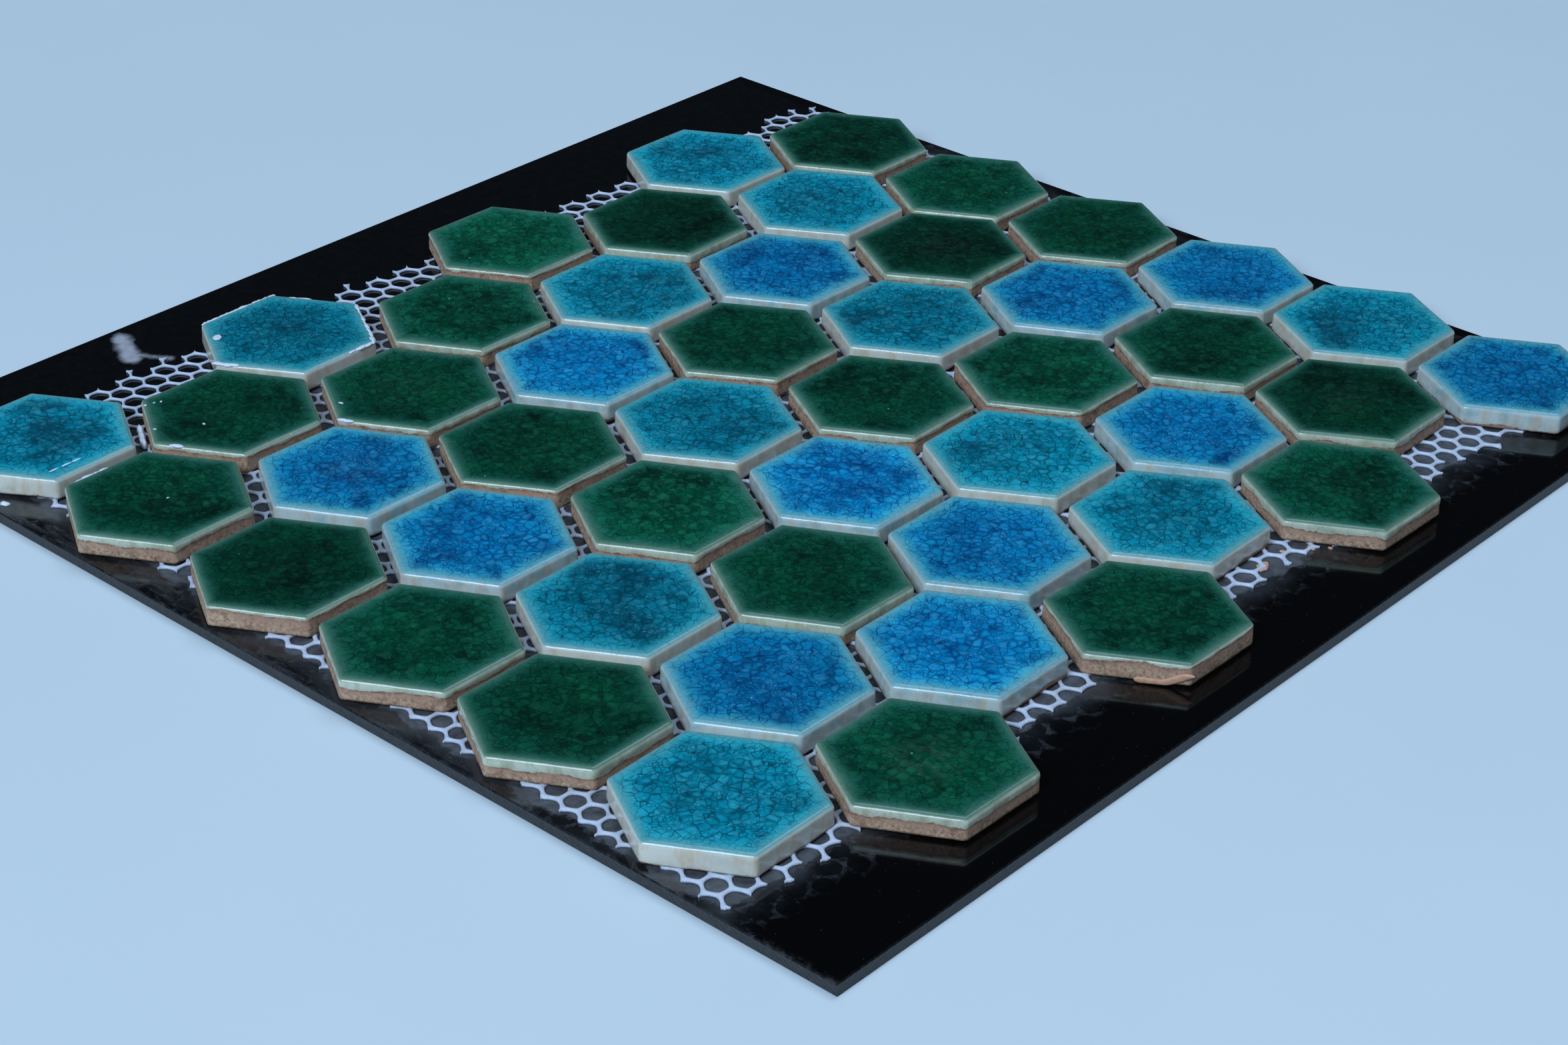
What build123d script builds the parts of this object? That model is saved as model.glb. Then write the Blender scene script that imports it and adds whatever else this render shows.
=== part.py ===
from build123d import *
import os
from math import cos, degrees, radians, sin, sqrt
from random import Random

# Mosaic sheet of hexagonal glazed tiles, stuck to a honeycomb net and glued to a square sample board.
# Millimetres. The origin is the middle of the board's underside, +Z is up and the tile rows run along X.

# Tiles
tile_flats = 39.5
tile_thick = 5.0
tile_joint = 2.8
tile_arris = 1.0
tile_draft = 2.0

# Sheet: the rows are named from the front, and each letter is one tile's glaze
glaze_names = {"G": "green", "T": "teal", "B": "blue"}
glaze_rows = ["TGGGGT", "GBBTBG", "TGGGGB", "GBTBBG", "GTGGTT", "GBTGBG", "TTGBGG", "GGGBTB"]
sheet_offset_x = 6.6
sheet_offset_y = -0.6

# Hand setting: how much of the joint a tile may wander sideways, and swing at the ends of its sides
wander_share = 0.2
swing_share = 0.07
setting_seed = 11

# Tiles that strayed farther than that, in joints along X and Y
strays = {
    "r1_c1": (-0.6, -0.2), "r1_c2": (-0.6, -0.2), "r1_c3": (0.1, -0.2), "r2_c1": (-0.3, 0.0), "r3_c1": (-0.4, -0.4),
    "r3_c5": (0.3, 0.0), "r6_c6": (-0.3, 0.3), "r7_c1": (0.3, 0.0), "r7_c2": (0.0, 0.3), "r7_c6": (-0.4, 0.3),
    "r8_c2": (0.4, -0.3), "r8_c3": (0.3, 0.0), "r8_c4": (0.3, 0.2), "r8_c5": (-0.2, 0.6), "r8_c6": (-0.2, 0.6),
}

# Net
net_thick = 0.7
net_pitch = 5.6
strand_width = 1.0
net_side_inset = 8.0
net_end_inset = 5.5
net_turn = -2.0
net_offset_x = 1.3
net_offset_y = -1.1
net_half_names = ["net_front_half", "net_back_half"]

# Board
board_thick = 3.0
board_margin = 1.4
board_edge_break = 0.3

# Tile lattice
tile_pitch = tile_flats + tile_joint
row_pitch = tile_pitch * sqrt(3) / 2
row_count = len(glaze_rows)
column_count = len(glaze_rows[0])
sheet_width = (column_count - 0.5) * tile_pitch + tile_flats
sheet_length = (row_count - 1) * row_pitch + tile_flats * 2 / sqrt(3)

# Setting errors
half_side = tile_flats / (2 * sqrt(3))
swing = degrees(swing_share * tile_joint / half_side)
hand = Random(setting_seed)

# Net lattice: cells stand on their points, and each half holds whole pairs of rows, so that the halves match
cell_row_pitch = net_pitch * sqrt(3) / 2
cell_corner_reach = net_pitch / sqrt(3)
net_width = sheet_width - 2 * net_side_inset
half_rows = 2 * round((sheet_length - 2 * net_end_inset) / cell_row_pitch / 4)
half_length = half_rows * cell_row_pitch
cells_each_way = round(net_width / net_pitch / 2) + 1

# Stacking heights
board_side = sheet_length + 2 * board_margin
net_floor = board_thick
tile_floor = net_floor + net_thick


def tile_place(row, column):
    """The middle of one tile on the true lattice."""
    x = (column + 0.5 * (row % 2) - (column_count - 0.5) / 2) * tile_pitch
    y = (row - (row_count - 1) / 2) * row_pitch
    return x + sheet_offset_x, y + sheet_offset_y


tile_places = [tile_place(row, column) for row in range(row_count) for column in range(column_count)]


def turned_plane(x, y, z, turn):
    """A level plane at a point, turned about the vertical by degrees."""
    return Plane(origin=(x, y, z), x_dir=(cos(radians(turn)), sin(radians(turn)), 0), z_dir=(0, 0, 1))


def tile_seat(row, column):
    """Where one tile stands on the net: its place, with its own small setting error."""
    x, y = tile_place(row, column)
    wander = hand.uniform(-wander_share, wander_share), hand.uniform(-wander_share, wander_share)
    drift_x, drift_y = strays.get(f"r{row + 1}_c{column + 1}", wander)
    return turned_plane(x + drift_x * tile_joint, y + drift_y * tile_joint, tile_floor, hand.uniform(-swing, swing))


def net_seat(half):
    """Where one half of the net lies on the board."""
    along = (half - (len(net_half_names) - 1) / 2) * half_length
    x = net_offset_x - along * sin(radians(net_turn))
    y = net_offset_y + along * cos(radians(net_turn))
    return turned_plane(x, y, net_floor, net_turn)


def is_in_sheet(point):
    """Whether a point is under a tile or in the joint between two of them."""
    reaches = []
    for x, y in tile_places:
        across = abs(point.X - x)
        slant = (across + abs(point.Y - y) * sqrt(3)) / 2
        reaches.append(max(across, slant))
    first, second = sorted(reaches)[:2]
    return first < tile_flats / 2 or (first < tile_pitch / 2 and second < tile_flats / 2 + tile_joint)


def open_cells(seat):
    """Centres of the cells of one half that show past the tiles, with those that its edges cut."""
    for row in range(half_rows + 1):
        for column in range(-cells_each_way, cells_each_way + 1):
            x = (column + 0.5 * (row % 2)) * net_pitch
            y = (row - half_rows / 2) * cell_row_pitch
            corners = [
                seat.from_local_coords(
                    (x + cell_corner_reach * sin(radians(turn)), y + cell_corner_reach * cos(radians(turn)), 0)
                )
                for turn in range(0, 360, 60)
            ]
            if not all(is_in_sheet(corner) for corner in corners):
                yield x, y


os.makedirs("parts", exist_ok=True)

# Backing board: sawn square, with its edges just broken
with BuildPart() as backing_board:
    with BuildSketch():
        Rectangle(board_side, board_side)
    extrude(amount=board_thick)
    chamfer(backing_board.faces().filter_by(Axis.Z).edges(), length=board_edge_break)
backing_board.part.label = "backing_board"
export_step(backing_board.part, "parts/backing_board.step")

# Backing net: a moulded sheet of hexagonal cells, cut off square through its strands.
# Under the tiles and their joints, where glue fills the cells, it stays closed.
for half, half_name in enumerate(net_half_names):
    seat = net_seat(half)
    with BuildPart() as net_half:
        with BuildSketch(seat):
            Rectangle(net_width, half_length)
            with Locations(*open_cells(seat)):
                RegularPolygon(
                    radius=(net_pitch - strand_width) / 2,
                    side_count=6,
                    major_radius=False,
                    rotation=30,
                    mode=Mode.SUBTRACT,
                )
        extrude(amount=net_thick)
    net_half.part.label = half_name
    export_step(net_half.part, f"parts/{half_name}.step")

# Tiles: pressed hexagons with a little draft and a rounded arris round the glazed face
for row, glaze_row in enumerate(glaze_rows):
    for column, glaze in enumerate(glaze_row):
        tile_name = f"{glaze_names[glaze]}_tile_r{row + 1}_c{column + 1}"
        with BuildPart() as tile:
            with BuildSketch(tile_seat(row, column)):
                RegularPolygon(radius=tile_flats / 2, side_count=6, major_radius=False, rotation=30)
            extrude(amount=tile_thick, taper=tile_draft)
            fillet(tile.edges().group_by(Axis.Z)[-1], radius=tile_arris)
        tile.part.label = tile_name
        export_step(tile.part, f"parts/{tile_name}.step")
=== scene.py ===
import math
import random

import bpy
import numpy as np
from mathutils import Matrix, Vector, noise


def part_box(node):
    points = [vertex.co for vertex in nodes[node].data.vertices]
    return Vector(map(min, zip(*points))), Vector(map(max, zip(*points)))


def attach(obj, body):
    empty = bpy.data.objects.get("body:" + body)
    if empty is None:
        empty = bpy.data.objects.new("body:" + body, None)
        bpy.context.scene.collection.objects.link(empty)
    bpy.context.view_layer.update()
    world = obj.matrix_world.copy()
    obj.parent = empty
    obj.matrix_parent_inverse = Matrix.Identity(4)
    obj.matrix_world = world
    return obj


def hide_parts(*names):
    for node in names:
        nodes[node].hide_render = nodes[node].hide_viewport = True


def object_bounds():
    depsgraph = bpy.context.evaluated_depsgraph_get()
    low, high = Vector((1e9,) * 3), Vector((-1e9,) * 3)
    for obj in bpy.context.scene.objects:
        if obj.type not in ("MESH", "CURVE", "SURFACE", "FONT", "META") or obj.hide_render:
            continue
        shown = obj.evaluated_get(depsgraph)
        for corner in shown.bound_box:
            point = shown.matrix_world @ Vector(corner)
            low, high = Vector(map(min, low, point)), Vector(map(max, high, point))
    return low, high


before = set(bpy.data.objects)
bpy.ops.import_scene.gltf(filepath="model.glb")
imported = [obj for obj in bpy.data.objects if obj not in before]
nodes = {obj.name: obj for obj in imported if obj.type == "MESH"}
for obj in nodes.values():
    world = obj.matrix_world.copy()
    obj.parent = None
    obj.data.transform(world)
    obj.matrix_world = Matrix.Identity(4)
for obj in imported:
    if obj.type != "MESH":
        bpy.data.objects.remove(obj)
cad_low, cad_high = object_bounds()

MM = 0.001
BODY = "root"

# Photograph: the camera looks down at the sheet from beyond its front right corner
CAMERA_PLACE = Vector((0.4422, -0.4919, 0.3560))
CAMERA_TARGET = Vector((0.0414, -0.0434, 0.0087))
CAMERA_ROLL = math.radians(0.485)
CAMERA_LENS = 72.28
CAMERA_SENSOR = 36.0

# Light: name, place, target and size in metres, and power in watts of each lamp
DAYLIGHT = (0.64, 0.80, 1.0)
ROOM_LIGHT = 0.02
LAMPS = [
    ("key", (0.48, -2.71, 2.48), (0, 0, 0), 2.0, 134.0),
    ("top", (0.0, 1.1, 3.0), (0, 0.5, 0), 2.6, 44.0),
    ("fill", (2.6, -0.5, 1.5), (0, 0, 0), 1.6, 5.0),
]
FLOOR_SIZE = 12.0

# Tile form, in metres
CORNER_RADIUS = 1.5 * MM
LEAST_CORNER_RADIUS = 0.25 * MM
ARRIS_RADIUS = 1.15 * MM
SIDE_DRAFT = math.tan(math.radians(2.0))
SIDE_POINTS = 20
CORNER_POINTS = 4
SIDE_RINGS = 9
ARRIS_RINGS = 6
TOP_RINGS = 9
FACE_DIP = 0.16 * MM
SIDE_WOBBLE = 0.09 * MM
GLAZE_COAT = 0.14 * MM
CLAY_GRIT = 0.10 * MM
TILE_SEED = 100

# The glaze's lower line: its height and how far that differs between tiles, and its height in millimetres on
# tiles where it shows
GLAZE_LINE = {"green": (3.1 * MM, 0.8 * MM), "teal": (0.2 * MM, 0.3 * MM), "blue": (0.3 * MM, 0.3 * MM)}
GLAZE_HEIGHTS = {
    "r1_c2": 3.3, "r1_c3": 4.0, "r1_c4": 3.2, "r1_c5": 2.6, "r2_c6": 2.9, "r4_c6": 4.0, "r6_c6": 2.9,
}
GLAZE_SWAY = 0.7 * MM

# How light each tile's glaze fired, as a factor on its colour: 1 for those that aren't named
TILE_TONES = {
    0.63: "r1_c3 r6_c1 r7_c3 r7_c6",
    0.87: "r2_c5 r3_c1 r8_c1 r8_c3",
    0.93: "r1_c2 r1_c5 r2_c1 r7_c5 r8_c6",
    1.12: "r2_c3 r4_c2 r4_c3 r4_c6 r5_c6",
    1.22: "r1_c1 r1_c4 r1_c6 r2_c6 r3_c6 r5_c2 r5_c5 r6_c6 r7_c1 r7_c2 r8_c5",
    1.35: "r4_c1 r4_c4 r6_c4 r8_c2",
    1.70: "r3_c4 r5_c1",
}
TONE_OF = {spot: tone for tone, spots in TILE_TONES.items() for spot in spots.split()}
TONE_SPREAD = (0.95, 1.06)
WORN_TILES = {"r2_c2", "r2_c6", "r3_c2", "r7_c3", "r7_c6"}
LEAST_WEAR = 0.10

# Net form, in metres: the pitch, turn and place that the source gives it
NET_PITCH = 5.6 * MM
NET_TURN = math.radians(-2.0)
NET_CENTER = (1.3 * MM, -1.1 * MM)
NET_HOLE = 4.68 * MM
NET_HOLE_SPREAD = 0.22 * MM
NET_HOLE_POINTED = 0.24
NET_THINNER = 0.30 * MM
NET_STATIONS = 5
NET_STUB_POINT = 0.85
NET_STUB_SHARES = (0.35, 1.0)
NET_SIDE_TRIM = 2.4 * MM
NET_END_TRIM = 4.4 * MM
NET_FRAY = 3.0 * MM
NET_FRAY_STEP = 0.8
NET_UNDER_TILE = 2.2 * MM
NET_DRAWN = 0.8 * MM
NET_SHAKEN = 0.25 * MM
NET_SEED = 5
WELD = 0.002 * MM

# Marks on the board, in millimetres: where each one starts and ends
FILM_HALF_WIDTH = 127.0
FILM_HALF_LENGTH = 145.5
FILM_LEFT_END = (-112.0, -94.0)
FRONT_STRIP = (-138.0, -143.0)
FRONT_STRIP_END = (120.0, 60.0)
FRONT_BRINK = (-150.4, -152.4)
UPPER_FACE = (1.5, 2.5)
GLUE_SMEAR_ARM = ((-147.5, -80.0), (-136.5, -85.0))
GLUE_SMEAR_TAIL = ((-137.0, -82.5), (-130.0, -78.6))

# Lumps of dried glue and clay
LUMP_RINGS = 6
LUMP_SIDES = 12
LUMP_UNEVEN = 0.4
FLECK_THICK = 0.11 * MM
FLECK_SINK = 0.10 * MM
SMEAR_LUMPS = 36
SMEAR_UNEVEN = 0.03
DIRT_SEED = 8

# Glued sides of one tile: the side in degrees, and where its glue starts and stops, in half sides
GLUED_SIDES = [
    (180, -0.95, 0.95), (120, 0.2, 0.5), (60, -0.85, 0.85), (0, 0.35, 0.95), (-60, -0.95, -0.6),
]

# Flecks of glue on one tile and crumbs of clay on the board: place and half length, in millimetres
GLUE_FLECKS = [
    (-5.3, -18.0, 0.6), (0.8, -8.6, 0.5), (-16.5, -12.0, 0.5), (-16.0, -9.9, 0.4), (-15.3, -8.4, 0.4),
]
CLAY_CRUMBS = [(125.0, 20.7, 2.4), (124.7, 29.1, 0.9), (128.3, 34.7, 1.2), (131.5, 37.5, 0.6)]

# Each glaze under white light, in sRGB: colours from the edge of the face inwards, in parts of RIM_SPAN
# millimetres, the thin glaze at the top and foot of the side, the dark, pale and bright of the pool, how
# strong the crackle's lines are, and how far the side is tinted
RIM_SPAN = 12.0
GLAZES = {
    "green": {
        "face": [(0.0, (0.55, 0.60, 0.52)), (0.045, (0.40, 0.51, 0.44)), (0.10, (0.27, 0.45, 0.38)),
                 (0.17, (0.18, 0.395, 0.33)), (0.28, (0.085, 0.335, 0.265)), (0.45, (0.025, 0.295, 0.22)),
                 (1.0, (0.0, 0.25, 0.17))],
        "side": (0.75, 0.79, 0.71), "side_low": (0.66, 0.68, 0.57), "deep": (0.0, 0.09, 0.06),
        "pale": (0.13, 0.42, 0.31), "bright": (0.02, 0.37, 0.23), "crackle": 0.75, "tinted": 0.45,
    },
    "teal": {
        "face": [(0.0, (0.57, 0.73, 0.73)), (0.045, (0.46, 0.66, 0.67)), (0.10, (0.36, 0.635, 0.66)),
                 (0.17, (0.26, 0.65, 0.69)), (0.28, (0.14, 0.63, 0.695)), (0.45, (0.03, 0.56, 0.65)),
                 (1.0, (0.0, 0.495, 0.58))],
        "side": (0.82, 0.82, 0.77), "side_low": (0.79, 0.74, 0.66), "deep": (0.0, 0.22, 0.29),
        "pale": (0.24, 0.63, 0.69), "bright": (0.03, 0.60, 0.69), "crackle": 1.0, "tinted": 0.15,
    },
    "blue": {
        "face": [(0.0, (0.58, 0.73, 0.75)), (0.045, (0.50, 0.67, 0.70)), (0.10, (0.42, 0.66, 0.70)),
                 (0.17, (0.335, 0.68, 0.735)), (0.28, (0.195, 0.645, 0.755)), (0.45, (0.06, 0.575, 0.75)),
                 (1.0, (0.0, 0.505, 0.71))],
        "side": (0.74, 0.80, 0.79), "side_low": (0.74, 0.72, 0.66), "deep": (0.0, 0.18, 0.38),
        "pale": (0.24, 0.63, 0.79), "bright": (0.03, 0.58, 0.79), "crackle": 0.95, "tinted": 0.50,
    },
}
COARSE_SHARDS = 0.46
FINE_SHARDS = 0.95

# The other colours, in sRGB
FACE_WEAR = (0.34, 0.40, 0.37)
FACE_DUST = (0.80, 0.84, 0.84)
SIDE_RUST = (0.68, 0.50, 0.40)
CLAY_LIGHT = (0.79, 0.68, 0.57)
CLAY_DARK = (0.56, 0.43, 0.34)
CLAY_PINK = (0.69, 0.54, 0.46)
CLAY_IRON = (0.42, 0.27, 0.18)
NET_GREY = (0.64, 0.69, 0.78)
NET_WHITE = (0.83, 0.86, 0.92)
NET_SOIL = (0.60, 0.56, 0.52)
BOARD_BLACK = (0.018, 0.019, 0.022)
BOARD_FILM = (0.34, 0.355, 0.38)
BOARD_SMEAR = (0.70, 0.71, 0.75)
BOARD_DUST = (0.55, 0.58, 0.62)
EDGE_DARK = (0.10, 0.105, 0.115)
EDGE_LIGHT = (0.21, 0.215, 0.225)
# Glue colours: the real colour of the dried glue, which on the corner tile's face streaks also serves as a
# painted highlight
GLUE_AND_GLINT_DULL = (0.80, 0.84, 0.90)
GLUE_AND_GLINT_WHITE = (0.92, 0.94, 0.97)
SMEAR_DARK = (0.72, 0.52, 0.42)
SMEAR_LIGHT = (0.88, 0.70, 0.58)
FLOOR_DARK = (0.80, 0.86, 0.89)
FLOOR_LIGHT = (0.84, 0.885, 0.91)


# Node helpers

class Shader:
    """A material's node tree, with one short call for each kind of node."""

    def __init__(self, name):
        self.material = bpy.data.materials.new(name)
        self.material.use_nodes = True
        self.tree = self.material.node_tree
        self.surface = self.tree.nodes["Principled BSDF"]

    def feed(self, socket, value):
        if isinstance(value, bpy.types.NodeSocket):
            self.tree.links.new(value, socket)
        elif value is not None:
            socket.default_value = value

    def add(self, kind, values=None, **settings):
        node = self.tree.nodes.new(kind)
        for key, value in settings.items():
            setattr(node, key, value)
        for key, value in (values or {}).items():
            self.feed(node.inputs[key], value)
        return node

    def set(self, **values):
        for key, value in values.items():
            self.feed(self.surface.inputs[key.replace("_", " ")], value)

    def attribute(self, name):
        return self.add("ShaderNodeAttribute", attribute_name=name).outputs["Fac"]

    def math(self, operation, a, b=None, clamp=False):
        return self.add("ShaderNodeMath", {0: a, 1: b}, operation=operation, use_clamp=clamp).outputs[0]

    def times(self, a, b):
        return self.math("MULTIPLY", a, b)

    def plus(self, a, b):
        return self.math("ADD", a, b)

    def minus(self, a, b):
        return self.math("SUBTRACT", a, b)

    def larger(self, a, b):
        return self.math("MAXIMUM", a, b)

    def sway(self, cloud, amount):
        """Noise to both sides of zero, times an amount."""
        return self.times(self.minus(cloud, 0.5), amount)

    def step(self, value, low, high, start=0.0, end=1.0):
        """A smooth change from start to end as the value goes from low to high."""
        values = {"Value": value, "From Min": low, "From Max": high, "To Min": start, "To Max": end}
        return self.add("ShaderNodeMapRange", values, interpolation_type="SMOOTHSTEP").outputs[0]

    def vector(self, operation, a, b):
        """Arithmetic on two vectors, with a vector and a value as outputs."""
        return self.add("ShaderNodeVectorMath", {0: a, 1: b}, operation=operation).outputs

    def scaled(self, vector, factor):
        return self.add("ShaderNodeVectorMath", {0: vector, "Scale": factor}, operation="SCALE").outputs[0]

    def split(self, vector):
        return self.add("ShaderNodeSeparateXYZ", {0: vector}).outputs

    def millimetres(self):
        """Places on the object in millimetres."""
        return self.scaled(self.add("ShaderNodeTexCoord").outputs["Object"], 1 / MM)

    def reach(self, vector, start, end):
        """Distance in plan from a line between two places."""
        line = (end[0] - start[0], end[1] - start[1], 0.0)
        flat = self.vector("MULTIPLY", vector, (1, 1, 0))[0]
        spoke = self.vector("SUBTRACT", flat, (*start, 0.0))[0]
        share = self.vector("DOT_PRODUCT", spoke, line)["Value"]
        share = self.math("DIVIDE", share, line[0] ** 2 + line[1] ** 2, clamp=True)
        return self.vector("DISTANCE", spoke, self.scaled(line, share))["Value"]

    def noise(self, vector, scale, detail=3.0, roughness=0.55):
        values = {"Vector": vector, "Scale": scale, "Detail": detail, "Roughness": roughness}
        return self.add("ShaderNodeTexNoise", values).outputs[0]

    def warp(self, vector, scale, amount):
        """Places pushed about by noise."""
        values = {"Vector": vector, "Scale": scale, "Detail": 2.0}
        drift = self.add("ShaderNodeTexNoise", values).outputs[1]
        centred = self.vector("SUBTRACT", drift, (0.5, 0.5, 0.5))[0]
        return self.vector("ADD", vector, self.scaled(centred, amount))[0]

    def cells(self, vector, scale, feature="F1"):
        return self.add("ShaderNodeTexVoronoi", {"Vector": vector, "Scale": scale}, feature=feature).outputs

    def mix(self, factor, a, b, blend="MIX"):
        node = self.add("ShaderNodeMix", data_type="RGBA", blend_type=blend)
        self.feed(node.inputs[0], factor)
        self.feed(node.inputs[6], a)
        self.feed(node.inputs[7], b)
        return node.outputs[2]

    def blend(self, factor, a, b):
        node = self.add("ShaderNodeMix", data_type="FLOAT")
        self.feed(node.inputs[0], factor)
        self.feed(node.inputs[2], a)
        self.feed(node.inputs[3], b)
        return node.outputs[0]

    def ramp(self, factor, stops):
        """Colours along a factor: (place, sRGB colour) pairs."""
        node = self.add("ShaderNodeValToRGB", {0: factor})
        elements = node.color_ramp.elements
        while len(elements) < len(stops):
            elements.new(0.5)
        for element, (place, color) in zip(elements, stops):
            element.position = place
            element.color = linear(color)
        return node.outputs[0]

    def bump(self, height, distance):
        values = {"Height": height, "Distance": distance, "Strength": 1.0}
        return self.add("ShaderNodeBump", values).outputs[0]


def linear(color):
    """An sRGB colour as linear RGBA."""
    channels = [c / 12.92 if c <= 0.04045 else ((c + 0.055) / 1.055) ** 2.4 for c in color]
    return (*channels, 1.0)


# Materials

def glaze_material(name, glaze):
    """Crackle glaze over buff clay: deep in mid face, milky at the rim and ragged down the side."""
    s = Shader(name)
    place = s.millimetres()
    rim = s.attribute("rim")
    over = s.attribute("over")
    tone = s.attribute("tone")
    worn = s.attribute("worn")
    deep, pale, bright = (linear(glaze[key]) for key in ("deep", "pale", "bright"))

    # Face colour from the edge inwards, with the pool of glaze uneven
    uneven = s.sway(s.noise(place, 0.16, 4.0), s.step(rim, 0.3, 3.0, 0.0, 3.6))
    face = s.ramp(s.math("DIVIDE", s.plus(rim, uneven), RIM_SPAN, clamp=True), glaze["face"])
    depth = s.step(rim, 0.6, 5.0)
    pool = s.noise(place, 0.065, 3.0)
    mottle = s.noise(place, 0.55, 6.0, 0.70)
    for cloud, darker, lighter in [(pool, 0.80, 0.60), (mottle, 0.50, 0.40)]:
        face = s.mix(s.times(s.step(cloud, 0.48, 0.70), s.times(depth, darker)), face, deep)
        face = s.mix(s.times(s.step(cloud, 0.50, 0.28), s.times(depth, lighter)), face, bright)

    # Crackle: shards of different depth, large and small, between dark hairlines that smudge in places
    coarse_place = s.warp(place, 0.45, 1.0)
    fine_place = s.warp(place, 0.90, 0.5)
    for sites, size, amount in [(coarse_place, COARSE_SHARDS, 0.26), (fine_place, FINE_SHARDS, 0.20)]:
        shard = s.split(s.cells(sites, size)["Color"])[0]
        face = s.mix(s.times(s.step(shard, 0.55, 1.0), s.times(depth, amount)), face, pale)
        face = s.mix(s.times(s.step(shard, 0.42, 0.0), s.times(depth, amount)), face, deep)
    coarse_edge = s.cells(coarse_place, COARSE_SHARDS, "DISTANCE_TO_EDGE")["Distance"]
    fine_edge = s.cells(fine_place, FINE_SHARDS, "DISTANCE_TO_EDGE")["Distance"]
    patch = s.noise(place, 0.20, 3.0)
    hairline = s.times(s.step(coarse_edge, 0.0, 0.078, 1.0, 0.0), s.step(rim, 0.4, 5.0, 0.20, 1.0))
    hairline = s.times(hairline, s.step(s.noise(place, 0.35, 3.0), 0.34, 0.56, 0.40, 1.0))
    smudge = s.times(s.step(coarse_edge, 0.0, 0.30, 0.75, 0.0), s.step(patch, 0.42, 0.62))
    smudge = s.times(smudge, s.step(rim, 2.5, 8.0))
    fine = s.times(s.step(fine_edge, 0.0, 0.16, 0.75, 0.0), s.step(patch, 0.55, 0.38))
    fine = s.times(fine, s.step(rim, 1.0, 5.0, 0.1, 1.0))
    lines = s.times(s.larger(s.larger(hairline, smudge), fine), glaze["crackle"])
    face = s.mix(lines, face, deep)

    # Wear and dust on the face, and the tile's own tone
    grey = s.times(worn, s.step(s.noise(place, 0.45, 4.0, 0.7), 0.42, 0.62))
    face = s.mix(s.times(grey, 0.26), face, linear(FACE_WEAR))
    specks = s.cells(place, 0.30)
    lucky = s.step(s.split(specks["Color"])[1], 0.93, 0.95)
    speck = s.times(lucky, s.step(specks["Distance"], 0.035, 0.065, 1.0, 0.0))
    face = s.mix(s.times(speck, 0.70), face, linear(FACE_DUST))
    toned = s.blend(s.step(rim, 0.3, 4.0), 1.0, tone)
    toned = s.add("ShaderNodeCombineColor", {0: toned, 1: toned, 2: toned}).outputs[0]
    face = s.mix(1.0, face, toned, "MULTIPLY")

    # Side: thin uneven glaze down to its ragged line, stained towards the foot
    runs = s.noise(s.vector("MULTIPLY", place, (1.0, 1.0, 0.45))[0], 0.30, 5.0, 0.60)
    side = s.mix(s.step(runs, 0.44, 0.66), linear(glaze["side"]), linear(glaze["side_low"]))
    tint = s.times(s.step(s.noise(place, 0.20, 3.0), 0.46, 0.66), s.step(over, 0.6, 2.6, 0.35, 1.0))
    side = s.mix(s.times(tint, glaze["tinted"]), side, linear(glaze["face"][2][1]))
    rust = s.times(s.step(s.noise(place, 0.55, 5.0, 0.70), 0.50, 0.70), s.step(over, 3.4, 0.2))
    side = s.mix(s.times(rust, 0.50), side, linear(SIDE_RUST))

    # Clay below the line: pink above, buff at the foot, with iron stains and a dark seam under the glaze
    gritty = s.noise(place, 1.3, 6.0, 0.72)
    clay = s.mix(s.step(gritty, 0.34, 0.64), linear(CLAY_DARK), linear(CLAY_LIGHT))
    blush = s.step(s.noise(place, 0.20, 3.0), 0.45, 0.66, 0.0, 0.4)
    clay = s.mix(s.plus(s.step(over, -2.2, -0.6, 0.0, 0.6), blush), clay, linear(CLAY_PINK))
    seam = s.times(s.step(over, -0.7, -0.1), s.step(s.noise(place, 0.6, 4.0), 0.36, 0.60))
    clay = s.mix(s.times(seam, 0.60), clay, linear(CLAY_IRON))
    stain = s.step(s.noise(place, 0.36, 5.0, 0.7), 0.50, 0.70, 0.0, 0.65)
    clay = s.mix(stain, clay, linear(CLAY_IRON))
    ragged = s.plus(over, s.sway(s.noise(place, 1.1, 4.0, 0.68), 1.3))
    glazed = s.step(ragged, -0.05, 0.10)
    on_face = s.step(rim, 0.10, 0.60)
    color = s.mix(on_face, s.mix(glazed, clay, side), face)

    # Gloss where there is glaze, grit where there is none
    rough = s.blend(glazed, 0.88, s.step(mottle, 0.3, 0.8, 0.10, 0.22))
    wave = s.noise(place, 0.14, 2.0)
    grit = s.times(s.minus(1.0, glazed), gritty)
    runny = s.times(s.minus(1.0, on_face), runs)
    relief = s.plus(s.times(wave, 0.3), s.times(grit, 0.45))
    relief = s.plus(relief, s.times(runny, 0.5))
    relief = s.minus(relief, s.times(lines, 0.02))
    s.set(Base_Color=color, Roughness=rough, IOR=1.5, Normal=s.bump(relief, 0.25 * MM))
    return s.material


def net_material():
    """White moulded plastic, a little soiled with clay dust and glue."""
    s = Shader("white_net")
    place = s.millimetres()
    soil = s.step(s.noise(place, 0.06, 4.0), 0.50, 0.70)
    color = s.mix(s.noise(place, 0.7, 4.0), linear(NET_GREY), linear(NET_WHITE))
    color = s.mix(s.times(soil, 0.30), color, linear(NET_SOIL))
    rough = s.step(s.noise(place, 1.5), 0.3, 0.7, 0.34, 0.58)
    s.set(Base_Color=color, Roughness=rough, Normal=s.bump(s.noise(place, 2.2, 4.0), 0.08 * MM))
    return s.material


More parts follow.
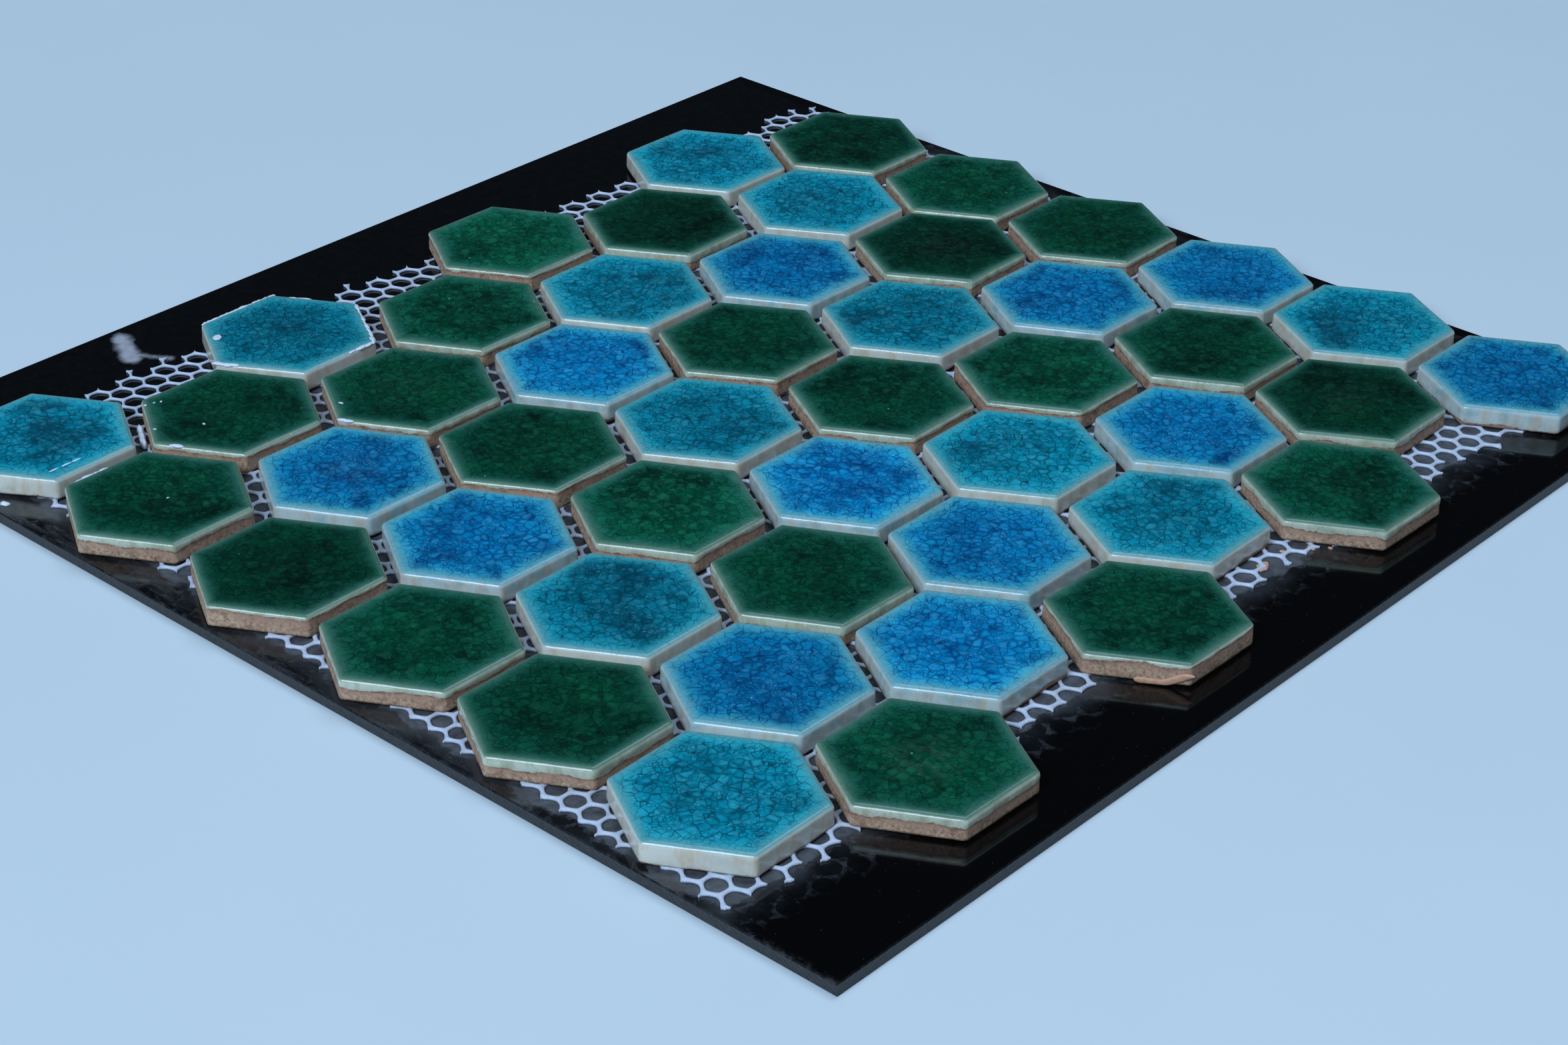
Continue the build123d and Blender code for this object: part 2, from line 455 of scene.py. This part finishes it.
def board_material():
    """Gloss black sheet: glue film in the net's cells, dull along the front, with grey sawn edges."""
    s = Shader("black_board")
    place = s.millimetres()
    x, y, z = s.split(place)[:3]
    upper = s.step(z, *UPPER_FACE)
    rough_cloud = s.noise(place, 0.35, 5.0, 0.65)

    # Film in the net's cells, ending unevenly just past its cut edges
    lean = math.tan(NET_TURN)
    net_x = s.plus(s.minus(x, NET_CENTER[0] / MM), s.times(y, lean))
    net_y = s.minus(s.minus(y, NET_CENTER[1] / MM), s.times(x, lean))
    past_side = s.minus(net_x, FILM_HALF_WIDTH)
    past_end = s.minus(s.math("ABSOLUTE", net_y), FILM_HALF_LENGTH)
    wander = s.sway(s.noise(place, 0.13, 4.0, 0.6), 11.0)
    past = s.plus(s.larger(past_side, past_end), wander)
    film = s.times(s.step(past, 1.2, -1.0), s.step(rough_cloud, 0.25, 0.75, 0.30, 0.90))

    # Haze past the cut edges, with the print of a net that has been lifted off
    wave_count = 4 * math.pi * MM / (math.sqrt(3) * NET_PITCH)
    waves = 0.0
    for angle in (math.radians(-30), math.radians(30), math.radians(90)):
        along = s.plus(s.times(net_x, math.cos(angle)), s.times(net_y, math.sin(angle)))
        waves = s.plus(waves, s.math("COSINE", s.times(along, wave_count)))
    print_lines = s.times(s.step(waves, -0.5, -1.0), s.step(past, 10.0, 5.0))
    print_lines = s.times(print_lines, s.step(rough_cloud, 0.40, 0.65, 0.0, 0.30))
    haze = s.times(s.step(past, 8.0, -2.0), s.step(s.noise(place, 0.09, 2.0), 0.35, 0.65, 0.10, 0.38))
    film = s.larger(film, s.larger(haze, print_lines))
    film = s.times(film, s.step(net_x, *FILM_LEFT_END, 0.03, 1.0))

    # Dull, scratched strip along the front edge, which ends towards the right
    strip = s.times(s.step(s.plus(y, s.times(wander, 0.4)), *FRONT_STRIP),
                    s.step(s.plus(x, s.times(wander, 2.0)), *FRONT_STRIP_END))
    grazed = s.vector("MULTIPLY", place, (0.35, 2.2, 1.0))[0]
    scratches = s.step(s.noise(grazed, 0.9, 5.0, 0.75), 0.50, 0.74)
    smudges = s.step(s.noise(grazed, 0.22, 4.0, 0.6), 0.40, 0.62)
    strip = s.times(strip, s.plus(s.times(smudges, 0.20), s.times(scratches, 0.22)))
    strip = s.times(strip, s.step(s.noise(place, 2.5, 3.0, 0.7), 0.3, 0.7, 0.6, 1.4))
    brink = s.times(s.step(y, *FRONT_BRINK), s.step(rough_cloud, 0.44, 0.66))
    strip = s.larger(strip, s.times(brink, 0.30))
    dull = s.times(s.larger(film, strip), upper)
    top = s.mix(dull, linear(BOARD_BLACK), linear(BOARD_FILM))

    # Smear of dried glue by the left edge, and dust
    arm = s.minus(s.reach(place, *GLUE_SMEAR_ARM), 2.6)
    tail = s.minus(s.reach(place, *GLUE_SMEAR_TAIL), 1.3)
    spread = s.sway(s.noise(place, 0.22, 3.0, 0.6), 3.5)
    smear = s.step(s.plus(s.math("MINIMUM", arm, tail), spread), 0.7, -1.9)
    smear = s.times(s.times(smear, upper), s.step(rough_cloud, 0.2, 0.6, 0.5, 0.85))
    top = s.mix(smear, top, linear(BOARD_SMEAR))
    specks = s.cells(place, 0.90)
    lucky = s.step(s.split(specks["Color"])[0], 0.86, 0.90)
    dust = s.times(lucky, s.step(specks["Distance"], 0.05, 0.13, 1.0, 0.0))
    top = s.mix(s.times(dust, 0.16), top, linear(BOARD_DUST))

    # Sawn edge: slanting tooth marks, uneven
    slant = s.plus(s.minus(x, y), s.times(z, 1.6))
    tooth = s.math("SINE", s.plus(s.times(slant, 3.1), s.times(wander, 0.8)))
    marks = s.plus(s.times(tooth, 0.09), s.noise(place, 0.8, 5.0, 0.7))
    edge = s.mix(s.step(marks, 0.25, 0.80), linear(EDGE_DARK), linear(EDGE_LIGHT))

    upright = s.math("ABSOLUTE", s.split(s.add("ShaderNodeNewGeometry").outputs["Normal"])[2])
    is_level = s.step(upright, 0.4, 0.9)
    color = s.mix(is_level, edge, top)
    level_rough = s.larger(s.step(dull, 0.05, 0.6, 0.09, 0.48), s.times(smear, 0.6))
    rough = s.blend(is_level, 0.50, level_rough)
    ripple = s.times(s.larger(dull, 0.06), rough_cloud)
    height = s.blend(is_level, marks, s.plus(ripple, s.times(smear, 0.8)))
    s.set(Base_Color=color, Roughness=rough, IOR=1.49, Normal=s.bump(height, 0.10 * MM))
    return s.material


def lump_material(name, dark, light, roughness):
    """Something soft that was smeared on and dried, uneven in colour."""
    s = Shader(name)
    place = s.millimetres()
    color = s.mix(s.noise(place, 0.9, 4.0), linear(dark), linear(light))
    s.set(Base_Color=color, Roughness=roughness, Normal=s.bump(s.noise(place, 1.6, 4.0), 0.15 * MM))
    return s.material


def floor_material():
    """Plain pale table top, faintly mottled."""
    s = Shader("pale_floor")
    cloud = s.noise(s.millimetres(), 0.006, 4.0, 0.6)
    s.set(Base_Color=s.mix(cloud, linear(FLOOR_DARK), linear(FLOOR_LIGHT)), Roughness=0.55)
    return s.material


# Mesh helpers

def make_piece(name, points, faces, material, replaced=()):
    """A mesh piece that rides with the part."""
    mesh = bpy.data.meshes.new(name)
    mesh.from_pydata([tuple(p) for p in points], [], [tuple(int(i) for i in face) for face in faces])
    mesh.update()
    mesh.shade_smooth()
    mesh.materials.append(material)
    piece = bpy.data.objects.new(name, mesh)
    bpy.context.scene.collection.objects.link(piece)
    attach(piece, BODY)
    if replaced:
        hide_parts(*replaced)
    return piece


def add_attribute(piece, name, values):
    attribute = piece.data.attributes.new(name, "FLOAT", "POINT")
    attribute.data.foreach_set("value", np.asarray(values, np.float32))


def smooth_step(value, low, high):
    t = np.clip((value - low) / (high - low), 0.0, 1.0)
    return t * t * (3 - 2 * t)


def grain(points, scale, offset=0.0):
    """Smooth noise from -1 to 1 at each point, for points in metres and a scale in marks per millimetre."""
    shift = Vector((offset, offset * 1.7, offset * 0.3))
    return np.array([noise.noise(Vector(p) * (scale / MM) + shift) for p in points])


def spin(angle):
    """A matrix that turns rows of places in plan."""
    return np.array([[math.cos(angle), math.sin(angle)], [-math.sin(angle), math.cos(angle)]])


# Tiles

class TileSeat:
    """Place, turn and size of one tile, read from its solid."""

    def __init__(self, node):
        vertices = nodes[node].data.vertices
        points = np.empty(len(vertices) * 3)
        vertices.foreach_get("co", points)
        points = points.reshape(-1, 3)
        self.floor, self.top = points[:, 2].min(), points[:, 2].max()
        corners = points[points[:, 2] < self.floor + 0.01 * MM][:, :2]
        self.center = (corners.min(0) + corners.max(0)) / 2
        spokes = (corners - self.center) @ np.array([1, 1j])
        reach = np.abs(spokes).max()
        spokes = spokes[np.abs(spokes) > reach * 0.99]
        corner_turn = math.pi / 6
        self.turn = np.angle(np.mean((spokes / np.abs(spokes)) ** 6 * np.exp(-6j * corner_turn))) / 6
        self.flats = reach * math.sqrt(3)
        self.half_side = self.flats / 2 / math.sqrt(3)


def hexagon_ring(apothem, radius):
    """Points and outward directions round a hexagon with rounded corners."""
    half = (apothem - radius) * math.tan(math.pi / 6)
    points, outward = [], []
    for side in range(6):
        angle = side * math.pi / 3
        normal = np.array([math.cos(angle), math.sin(angle)])
        along = np.array([-normal[1], normal[0]])
        for s in np.linspace(-half, half, SIDE_POINTS):
            points.append(normal * apothem + along * s)
            outward.append(normal)
        hub = normal * (apothem - radius) + along * half
        for k in range(1, CORNER_POINTS):
            turn = angle + math.pi / 3 * k / CORNER_POINTS
            spoke = np.array([math.cos(turn), math.sin(turn)])
            points.append(hub + spoke * radius)
            outward.append(spoke)
    return np.array(points), np.array(outward)


def tile_rings(thickness):
    """Each ring's inset, height and share of the way out: up the side, over the arris and inwards."""
    rings = []
    wall_top = thickness - ARRIS_RADIUS
    for height in np.linspace(0.0, wall_top, SIDE_RINGS):
        rings.append((height * SIDE_DRAFT, height, 1.0))
    for k in range(1, ARRIS_RINGS + 1):
        bend = math.pi / 2 * k / ARRIS_RINGS
        inset = wall_top * SIDE_DRAFT + ARRIS_RADIUS * (1 - math.cos(bend))
        rings.append((inset, wall_top + ARRIS_RADIUS * math.sin(bend), 1.0))
    last = rings[-1][0]
    for share in np.linspace(1.0, 0.0, TOP_RINGS + 1)[1:-1] ** 0.8:
        rings.append((last, thickness, share))
    return rings


def tile_faces(count, ring_count):
    """The base, the bands between the rings, and the fan in the middle of the face."""
    faces = [tuple(range(count))[::-1]]
    for ring in range(ring_count - 1):
        for k in range(count):
            a, b = ring * count + k, ring * count + (k + 1) % count
            faces.append((a, b, b + count, a + count))
    last, middle = (ring_count - 1) * count, ring_count * count
    return faces + [(last + k, last + (k + 1) % count, middle) for k in range(count)]


def make_tile(node, index, material):
    """One tile with a ragged glaze line, gritty clay below it and a slightly uneven face."""
    seat = TileSeat(node)
    color, spot = node.split("_tile_")
    apothem, thickness = seat.flats / 2, seat.top - seat.floor
    rings = tile_rings(thickness)
    chance = random.Random(TILE_SEED + index)
    points, rim, height, outwards = [], [], [], []
    for inset, rise, share in rings:
        ring, outward = hexagon_ring(apothem - inset, max(CORNER_RADIUS - inset, LEAST_CORNER_RADIUS))
        points.append(np.column_stack([ring * share, np.full(len(ring), rise)]))
        outwards.append(outward)
        rim.append(np.full(len(ring), inset + (apothem - inset) * (1 - share)))
        height.append(np.full(len(ring), rise))
    faces = tile_faces(len(points[0]), len(rings))
    points.append(np.array([[0.0, 0.0, thickness]]))
    outwards.append(np.zeros((1, 2)))
    rim.append(np.array([apothem]))
    height.append(np.array([thickness]))
    points, outwards = np.concatenate(points), np.concatenate(outwards)
    rim, height = np.concatenate(rim), np.concatenate(height)

    # Ragged lower line of the glaze round the side
    line_mean, line_spread = GLAZE_LINE[color]
    around = points * [1, 1, 0]
    sway = grain(around, 0.16, index * 3.1) + 0.5 * grain(around, 0.45, index * 5.3)
    line = line_mean + line_spread * chance.uniform(-1, 1)
    line = GLAZE_HEIGHTS.get(spot, line / MM) * MM
    over = height - (line + GLAZE_SWAY * sway)

    # Relief: glaze stands proud of the clay, clay is gritty, and the face is never quite flat
    on_side = smooth_step(thickness - height, 0.3 * MM, 1.0 * MM)
    proud = (smooth_step(over, -0.25 * MM, 0.25 * MM) - 1) * GLAZE_COAT
    bare = 1 - smooth_step(over, -0.2 * MM, 0.2 * MM)
    grit = -np.abs(grain(points, 0.8, index * 2.7)) * CLAY_GRIT * bare
    wobble = (grain(around, 0.10, index * 1.9) - 1) * SIDE_WOBBLE * smooth_step(rim, 6 * MM, 1 * MM)
    points[:, :2] += outwards * ((proud + grit) * on_side + wobble)[:, None]
    dip = (grain(points, 0.055, index * 4.7) * 0.35 + 0.65) * FACE_DIP
    points[:, 2] -= dip * smooth_step(rim, 0.4 * MM, 4 * MM)

    points[:, :2] = points[:, :2] @ spin(seat.turn) + seat.center
    points[:, 2] += seat.floor
    piece = make_piece("crackle_" + node, points, faces, material, [node])
    add_attribute(piece, "rim", rim / MM)
    add_attribute(piece, "over", over / MM)
    tone = TONE_OF.get(spot, 1.0) * chance.uniform(*TONE_SPREAD)
    add_attribute(piece, "tone", np.full(len(points), tone))
    patch = grain(points, 0.07, index * 6.1) * 0.5 + 0.5
    centre = smooth_step(rim, 9 * MM, 17 * MM)
    add_attribute(piece, "worn", centre * patch * (1.0 if spot in WORN_TILES else LEAST_WEAR))
    return seat


# Net

def net_to_board(points):
    """Places in the net's own frame as places on the board."""
    return points @ spin(NET_TURN) + np.array(NET_CENTER)


def hexagon_reach(offsets):
    """Distance from a tile's middle, square to the side that a point faces."""
    across = np.abs(offsets[..., 0])
    slant = (across + np.abs(offsets[..., 1]) * math.sqrt(3)) / 2
    return np.maximum(across, slant)


def hole_reach(angle, cell):
    """Radius of a rounded hole at an angle from the middle of one of its sides; holes widen to the left."""
    flat = np.column_stack([cell, np.zeros(len(cell))])
    wider = NET_THINNER * smooth_step(-cell[:, 0], 85 * MM, 110 * MM)
    hole = NET_HOLE + wider + NET_HOLE_SPREAD * grain(flat, 0.11, 1.0)
    return hole[:, None] / 2 * (1 + NET_HOLE_POINTED * (1 / np.cos(angle) - 1))


def net_strands(half_width, half_length):
    """Every strand once, as the sides of each cell that face right, up right and up left."""
    row_pitch = NET_PITCH * math.sqrt(3) / 2
    columns = int(half_width / NET_PITCH) + 3
    rows = int(half_length / row_pitch) + 3
    strands = []
    for row in range(-rows, rows + 1):
        for column in range(-columns, columns + 1):
            middle = ((column + 0.5 * (row % 2)) * NET_PITCH, row * row_pitch)
            strands += [(*middle, side) for side in (0, 1, 2)]
    strands = np.array(strands)
    cell, facing = strands[:, :2], strands[:, 2] * math.pi / 3
    normal = np.column_stack([np.cos(facing), np.sin(facing)])
    along = np.column_stack([-normal[:, 1], normal[:, 0]])
    return cell, normal, along


def trim_net(cell, normal, along, half_width, half_length, seats, chance):
    """Which strands are kept, and whether the two ends of each strand are uncut."""
    half_side = NET_PITCH / (2 * math.sqrt(3))
    middle = cell + normal * NET_PITCH / 2

    # Junctions, each with the strands that end there
    ends = np.concatenate([middle - along * half_side, middle + along * half_side])
    lattice = np.round(ends / NET_PITCH * 12)
    _, first, joined = np.unique(lattice, axis=0, return_index=True, return_inverse=True)
    joined = joined.reshape(2, -1)
    spots = ends[first]

    # Junctions past the ragged cut go, and a strand with one end left is a stub
    flat = np.column_stack([spots, np.zeros(len(spots))])
    fray = grain(flat, 0.09, 3.0) * NET_FRAY
    fray += chance.uniform(-NET_FRAY_STEP, NET_FRAY_STEP, len(spots)) * MM
    inside = (np.abs(spots[:, 0]) < half_width + fray) & (np.abs(spots[:, 1]) < half_length + fray)
    whole = inside[joined].all(0)
    inside &= np.bincount(joined[:, whole].ravel(), minlength=len(spots)) > 0
    uncut = inside[joined]

    # None is kept under a tile
    centers = np.array([seat.center for seat in seats])
    offsets = net_to_board(middle)[:, None] - centers[None]
    buried = (hexagon_reach(offsets) < seats[0].flats / 2 - NET_UNDER_TILE).any(1)
    return uncut.any(0) & ~buried, uncut


def strand_points(cell, normal, along, uncut, thickness, chance):
    """Each strand's section at each of its stations: two hole walls at three heights, and crown and sole."""
    stub = chance.uniform(*NET_STUB_SHARES, len(cell))
    start = np.where(uncut[0], -1.0, 1 - stub)
    stop = np.where(uncut[1], 1.0, stub - 1)
    share = np.linspace(0.0, 1.0, NET_STATIONS)
    station = start[:, None] + (stop - start)[:, None] * share
    angle = station * math.pi / 6
    direction = normal[:, None] * np.cos(angle)[..., None] + along[:, None] * np.sin(angle)[..., None]
    crown = direction * (NET_PITCH / 2 / np.cos(angle))[..., None]
    near = direction * hole_reach(angle, cell)[..., None]
    far = direction * hole_reach(angle, cell + normal * NET_PITCH)[..., None]
    far += (NET_PITCH - 2 * np.einsum("ijk,ik->ij", far, normal))[..., None] * normal[:, None]
    tip = np.where(uncut[1][:, None], 0.0, share) + np.where(uncut[0][:, None], 0.0, 1 - share)
    narrow = (np.clip(tip, 0.0, 1.0) * NET_STUB_POINT)[..., None]

    # Round the section: a wall, its share of the height and how far it leans in to the crown
    profile = [(near, 0.0, 0.12), (near, 0.45, 0.0), (near, 0.85, 0.30), (crown, 1.0, 0.0),
               (far, 0.85, 0.30), (far, 0.45, 0.0), (far, 0.0, 0.12), (crown, 0.0, 0.0)]
    rings = []
    for wall, rise, inward in profile:
        flat = wall + (crown - wall) * (inward + (1 - inward) * narrow) + cell[:, None]
        rings.append(np.concatenate([flat, np.full((*flat.shape[:2], 1), rise * thickness)], 2))
    return np.stack(rings, 2)


def weld_strands(sections):
    """Points and faces of the joined strands, with a cap on each half of an end that meets no other."""
    count, _, width, _ = sections.shape
    points = sections.reshape(-1, 3)
    base = np.arange(count)[:, None] * NET_STATIONS * width
    quads = []
    for k in range(NET_STATIONS - 1):
        for j in range(width):
            a, b = k * width + j, k * width + (j + 1) % width
            quads.append(base + [a, a + width, b + width, b])
    lattice = np.round(points / WELD)
    _, first, welded = np.unique(lattice, axis=0, return_index=True, return_inverse=True)
    welded = welded.ravel()
    last = (NET_STATIONS - 1) * width
    halves = [welded[base + [0, 1, 2, 3, 7]], welded[base + [3, 4, 5, 6, 7]],
              welded[base + last + [7, 3, 2, 1, 0]], welded[base + last + [7, 6, 5, 4, 3]]]
    waists = np.column_stack([welded[base[:, 0] + j] for j in (1, 5, last + 1, last + 5)])
    bare = np.bincount(waists.ravel())[waists] == 1
    faces = welded[np.concatenate(quads)].tolist()
    for k, half in enumerate(halves):
        faces += half[bare[:, k]].tolist()
    return points[first], faces


def make_net(seats, material):
    """Honeycomb net: strands that swell where they meet, cut off raggedly past the tiles."""
    low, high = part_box("net_front_half")
    high_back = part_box("net_back_half")[1]
    half_width = (high.x - low.x) / 2 - NET_SIDE_TRIM
    half_length = (high_back.y - low.y) / 2 - NET_END_TRIM
    chance = np.random.default_rng(NET_SEED)
    cell, normal, along = net_strands(half_width, half_length)
    kept, uncut = trim_net(cell, normal, along, half_width, half_length, seats, chance)
    cell, normal, along, uncut = cell[kept], normal[kept], along[kept], uncut[:, kept]
    points, faces = weld_strands(strand_points(cell, normal, along, uncut, high.z - low.z, chance))

    # Hand-laid: the cells are drawn about a little
    points[:, :2] = net_to_board(points[:, :2])
    flat = points * [1, 1, 0]
    points[:, 0] += grain(flat, 0.05, 2.0) * NET_DRAWN + grain(flat, 0.17, 4.0) * NET_SHAKEN
    points[:, 1] += grain(flat, 0.05, 7.0) * NET_DRAWN + grain(flat, 0.17, 9.0) * NET_SHAKEN
    points[:, 2] += low.z
    return make_piece("honeycomb_net", points, faces, material, ["net_front_half", "net_back_half"])


# Dried glue and clay

def lump(center, size, turn, chance, uneven=LUMP_UNEVEN):
    """Points and faces of one uneven lump: its middle, its half sizes and its turn about the vertical."""
    latitudes = np.linspace(-math.pi / 2, math.pi / 2, LUMP_RINGS + 1)[1:-1]
    longitudes = np.arange(LUMP_SIDES) * 2 * math.pi / LUMP_SIDES
    lat, lon = np.meshgrid(latitudes, longitudes, indexing="ij")
    axes = [np.cos(lat) * np.cos(lon), np.cos(lat) * np.sin(lon), np.sin(lat)]
    ball = np.column_stack([axis.ravel() for axis in axes])
    ball = np.concatenate([ball, [[0, 0, -1], [0, 0, 1]]])
    ball *= (1 + uneven * grain(ball * MM, 1.3, chance.uniform(0, 90)))[:, None]
    points = ball * size
    points[:, :2] = points[:, :2] @ spin(turn)
    points += center
    points[:, 2] = np.clip(points[:, 2], None, cad_high.z)
    faces = []
    for ring in range(len(latitudes) - 1):
        for k in range(LUMP_SIDES):
            a, b = ring * LUMP_SIDES + k, ring * LUMP_SIDES + (k + 1) % LUMP_SIDES
            faces.append((a, b, b + LUMP_SIDES, a + LUMP_SIDES))
    last, foot = (len(latitudes) - 1) * LUMP_SIDES, len(points) - 2
    for k in range(LUMP_SIDES):
        faces.append(((k + 1) % LUMP_SIDES, k, foot))
        faces.append((last + k, last + (k + 1) % LUMP_SIDES, foot + 1))
    return points, faces


def side_place(seat, side, along, out):
    """A place in plan by a side of a tile, along in half sides from its middle, and the side's direction."""
    angle = math.radians(side) + seat.turn
    normal = np.array([math.cos(angle), math.sin(angle)])
    sideways = np.array([-normal[1], normal[0]])
    place = seat.center + normal * (seat.flats / 2 + out) + sideways * seat.half_side * along
    return place, angle


def arris_glue(seat, side, start, stop, chance):
    """Lumps of glue along the arris of one side of a tile."""
    lumps, at = [], start
    while at < stop:
        length = chance.uniform(1.0, 2.2) * MM
        place, angle = side_place(seat, side, at, -chance.uniform(0.55, 0.95) * MM)
        size = (length, chance.uniform(0.55, 0.90) * MM, chance.uniform(0.26, 0.42) * MM)
        height = seat.top - chance.uniform(0.32, 0.45) * MM
        lumps.append(lump((*place, height), size, angle + math.pi / 2, chance))
        at += length * chance.uniform(0.8, 1.5) / seat.half_side
    return lumps


def face_glue(seat, x, y, length, width, chance):
    """A thin fleck on a tile's face, placed in millimetres from the tile's middle."""
    place = seat.center + np.array([x, y]) * MM
    size = (length * MM, width * MM, FLECK_THICK)
    return lump((*place, seat.top - FLECK_SINK), size, chance.uniform(0, math.pi), chance)


def make_lumps(name, lumps, material):
    """Several lumps as one piece."""
    points, faces = [], []
    for lump_points, lump_faces in lumps:
        base = sum(len(p) for p in points)
        points.append(lump_points)
        faces += [tuple(base + i for i in face) for face in lump_faces]
    return make_piece(name, np.concatenate(points), faces, material)


def make_glue_and_glints(seat_of, board_top, chance):
    """Dried glue on and between the tiles at the left corner; on the corner tile's face, thin white streaks
    of glue also stand in for its glint as a painted highlight.
    """
    corner = seat_of["teal_tile_r1_c1"]
    second = seat_of["green_tile_r1_c2"]
    upper = seat_of["green_tile_r2_c1"]
    smeared = seat_of["teal_tile_r3_c1"]
    next_one = seat_of["green_tile_r3_c2"]
    glue = []
    for side, start, stop in GLUED_SIDES:
        glue += arris_glue(smeared, side, start, stop, chance)
    glue.append(face_glue(smeared, -10.7, -13.6, 1.7, 1.2, chance))
    glue += arris_glue(upper, -60, -0.52, -0.36, chance)
    glue += arris_glue(next_one, -60, -0.90, -0.74, chance)
    glue += arris_glue(second, 180, 0.05, 0.80, chance)
    for x, y, size in GLUE_FLECKS:
        glue.append(face_glue(upper, x, y, size, size * 0.7, chance))
    glue.append(face_glue(next_one, -6.0, -16.6, 0.7, 0.5, chance))
    glue.append(face_glue(second, 2.0, 1.0, 0.35, 0.25, chance))
    for along in (-0.35, -0.05, 0.2):
        place, angle = side_place(upper, -120, along, 1.2 * MM)
        size = (2.1 * MM, 0.8 * MM, 1.2 * MM)
        glue.append(lump((*place, upper.floor + 0.5 * MM), size, angle + math.pi / 2, chance))
    # Thin white streaks near the right edge of the corner tile's face: they are glue, and their white
    # colour, almost flush with the face, is also a painted highlight for the glint of the glossy glue
    for along in (-0.75, -0.45, -0.2):
        place, angle = side_place(corner, 0, along, -4.6 * MM)
        size = (1.5 * MM, 0.28 * MM, FLECK_THICK)
        glue.append(lump((*place, corner.top - FLECK_SINK), size, angle + math.pi / 2, chance))
    glue.append(lump((-100.0 * MM, -149.2 * MM, board_top), (1.3 * MM, 0.9 * MM, 0.5 * MM), 0.4, chance))
    make_lumps("dried_glue_and_glints", glue, lump_material("dried_glue_and_glints", GLUE_AND_GLINT_DULL, GLUE_AND_GLINT_WHITE, 0.42))


def make_clay(seat_of, board_top, chance):
    """A smear of soft clay on the side of a tile at the right edge, and crumbs on the board beside it."""
    chipped = seat_of["green_tile_r4_c6"]
    clay = []
    for along in np.linspace(0.10, 0.92, SMEAR_LUMPS):
        place, angle = side_place(chipped, -60, along, 0.0)
        rise = (0.2 + 2.2 * max(along - 0.5, 0.0) ** 1.2 / 0.35) * MM
        size = (1.7 * MM, 0.35 * MM, (0.8 - 0.35 * along) * MM)
        clay.append(lump((*place, chipped.floor + rise), size, angle + math.pi / 2, chance, SMEAR_UNEVEN))
    for x, y, length in CLAY_CRUMBS:
        size = (length * MM, length * 0.55 * MM, 0.30 * MM)
        clay.append(lump((x * MM, y * MM, board_top + 0.15 * MM), size, chance.uniform(0, math.pi), chance))
    make_lumps("clay_smears", clay, lump_material("clay_smear", SMEAR_DARK, SMEAR_LIGHT, 0.8))


# Stage

def make_floor():
    bpy.ops.mesh.primitive_plane_add(size=FLOOR_SIZE, location=(0, 0, cad_low.z))
    floor = bpy.context.object
    floor.name = "floor"
    floor.data.materials.append(floor_material())


def make_light():
    """Soft lamps in a dim room."""
    for name, place, target, size, power in LAMPS:
        light = bpy.data.lights.new(name, "AREA")
        light.shape = "DISK"
        light.size = size
        light.energy = power
        light.color = DAYLIGHT
        holder = bpy.data.objects.new(name, light)
        holder.location = place
        holder.rotation_euler = (Vector(target) - Vector(place)).to_track_quat("-Z", "Y").to_euler()
        bpy.context.scene.collection.objects.link(holder)

    world = bpy.data.worlds.new("dim_room")
    bpy.context.scene.world = world
    world.use_nodes = True
    background = world.node_tree.nodes["Background"]
    background.inputs["Color"].default_value = (*DAYLIGHT, 1.0)
    background.inputs["Strength"].default_value = ROOM_LIGHT


def make_camera():
    """The photograph's camera."""
    camera_data = bpy.data.cameras.new("camera")
    camera_data.lens = CAMERA_LENS
    camera_data.sensor_width = CAMERA_SENSOR
    camera = bpy.data.objects.new("camera", camera_data)
    aim = (CAMERA_TARGET - CAMERA_PLACE).to_track_quat("-Z", "Y").to_matrix().to_4x4()
    camera.matrix_world = Matrix.Translation(CAMERA_PLACE) @ aim @ Matrix.Rotation(CAMERA_ROLL, 4, "Z")
    bpy.context.scene.collection.objects.link(camera)
    bpy.context.scene.camera = camera
    bpy.context.scene.view_settings.view_transform = "Standard"


# Assembly

glazes = {color: glaze_material(color + "_crackle_glaze", looks) for color, looks in GLAZES.items()}
tile_nodes = sorted(name for name in nodes if "_tile_" in name)
seat_of = {node: make_tile(node, index, glazes[node.split("_")[0]]) for index, node in enumerate(tile_nodes)}
make_net(list(seat_of.values()), net_material())
dirt_chance = random.Random(DIRT_SEED)
board_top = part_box("backing_board")[1].z
make_glue_and_glints(seat_of, board_top, dirt_chance)
make_clay(seat_of, board_top, dirt_chance)
board = nodes["backing_board"]
board.data.materials.clear()
board.data.materials.append(board_material())
make_floor()
make_light()
make_camera()
